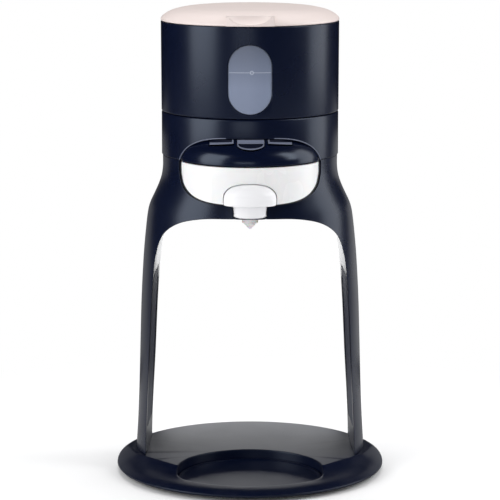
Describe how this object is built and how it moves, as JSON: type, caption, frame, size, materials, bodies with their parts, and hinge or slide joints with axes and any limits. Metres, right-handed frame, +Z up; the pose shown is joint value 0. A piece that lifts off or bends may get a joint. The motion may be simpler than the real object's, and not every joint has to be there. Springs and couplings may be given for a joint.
{
  "type": "baby formula maker",
  "caption": "Round countertop formula maker: lidded water tank over a heating body on a two-legged stand, powder drawer with spout above a bottle bay, round base with drip tray.",
  "frame": {"origin": "centre of the round base on the worktop", "axes": "+Z up, -Y towards the user (keys and drawer side), +X to the user's right"},
  "size_m": [0.186, 0.1858, 0.3246],
  "materials": {
    "navy_plastic": "satin gloss, very dark navy",
    "dark_plastic": "matte, near black",
    "rubber": "matte black",
    "steel": "brushed",
    "grey_key_plastic": "satin blue grey",
    "circuit_board": "green lacquer",
    "black_plastic": "matte black",
    "white_plastic": "soft gloss white",
    "silicone": "translucent pale grey silicone",
    "clear_blue_plastic": "clear with a blue grey tint",
    "pale_pink_plastic": "soft gloss, pinkish beige"
  },
  "bodies": {
    "stand": {"base_plate": "navy_plastic", "base_underplate": "dark_plastic", "foot_pad_1": "rubber", "foot_pad_2": "rubber", "foot_pad_3": "rubber", "foot_pad_4": "rubber", "stand_screw_1": "steel", "stand_screw_2": "steel", "stand_screw_3": "steel", "stand_screw_4": "steel", "stand_frame": "navy_plastic", "left_leg_cover": "navy_plastic", "right_leg_cover": "navy_plastic", "body_shell": "navy_plastic", "body_floor": "dark_plastic", "cord_gland": "rubber", "hood": "navy_plastic", "control_board": "circuit_board", "temperature_switch": "black_plastic", "start_switch": "black_plastic", "volume_switch": "black_plastic", "inlet_socket": "white_plastic", "socket_seal": "silicone", "water_pump": "black_plastic", "water_heater": "steel", "water_outlet": "silicone", "tank_to_pump_hose": "silicone", "pump_to_heater_hose": "silicone", "heater_to_outlet_hose": "silicone", "power_board": "circuit_board"},
    "tray": {"drip_tray": "navy_plastic"},
    "temperature_key": {"temperature_key": "grey_key_plastic"},
    "start_key": {"start_key": "grey_key_plastic"},
    "volume_key": {"volume_key": "grey_key_plastic"},
    "drawer": {"drawer_bowl": "white_plastic", "drawer_handle": "white_plastic", "pour_nozzle": "silicone", "drawer_sole": "navy_plastic"},
    "tank": {"tank_sleeve": "navy_plastic", "hinge_pin": "steel", "water_tank": "clear_blue_plastic", "valve_body": "white_plastic", "valve_spring": "steel"},
    "valve": {"valve_plunger": "silicone"},
    "lid": {"lid": "pale_pink_plastic", "lid_seal": "silicone"}
  },
  "joints": [
    {"name": "lid_hinge", "type": "hinge", "parent": "tank", "child": "lid", "pos_m": [0, 0.0572, 0.3095], "axis": [-1, 0, 0], "range_deg": [0, 95]},
    {"name": "tank_lift", "type": "slide", "parent": "stand", "child": "tank", "axis": [0, 0, 1], "range_m": [0, 0.06]},
    {"name": "valve_lift", "type": "slide", "parent": "tank", "child": "valve", "axis": [0, 0, 1], "range_m": [0, 0.0015], "stiffness_N_per_m": 300, "deforming": ["valve_spring"]},
    {"name": "drawer_slide", "type": "slide", "parent": "stand", "child": "drawer", "axis": [0, -1, 0], "range_m": [0, 0.095]},
    {"name": "tray_lift", "type": "slide", "parent": "stand", "child": "tray", "axis": [0, 0, 1], "range_m": [0, 0.05]},
    {"name": "temperature_press", "type": "slide", "parent": "stand", "child": "temperature_key", "axis": [0, 0.6, -0.8], "range_m": [0, 0.0008], "stiffness_N_per_m": 900},
    {"name": "start_press", "type": "slide", "parent": "stand", "child": "start_key", "axis": [0, 0.6, -0.8], "range_m": [0, 0.0008], "stiffness_N_per_m": 900},
    {"name": "volume_press", "type": "slide", "parent": "stand", "child": "volume_key", "axis": [0, 0.6, -0.8], "range_m": [0, 0.0008], "stiffness_N_per_m": 900}
  ]
}
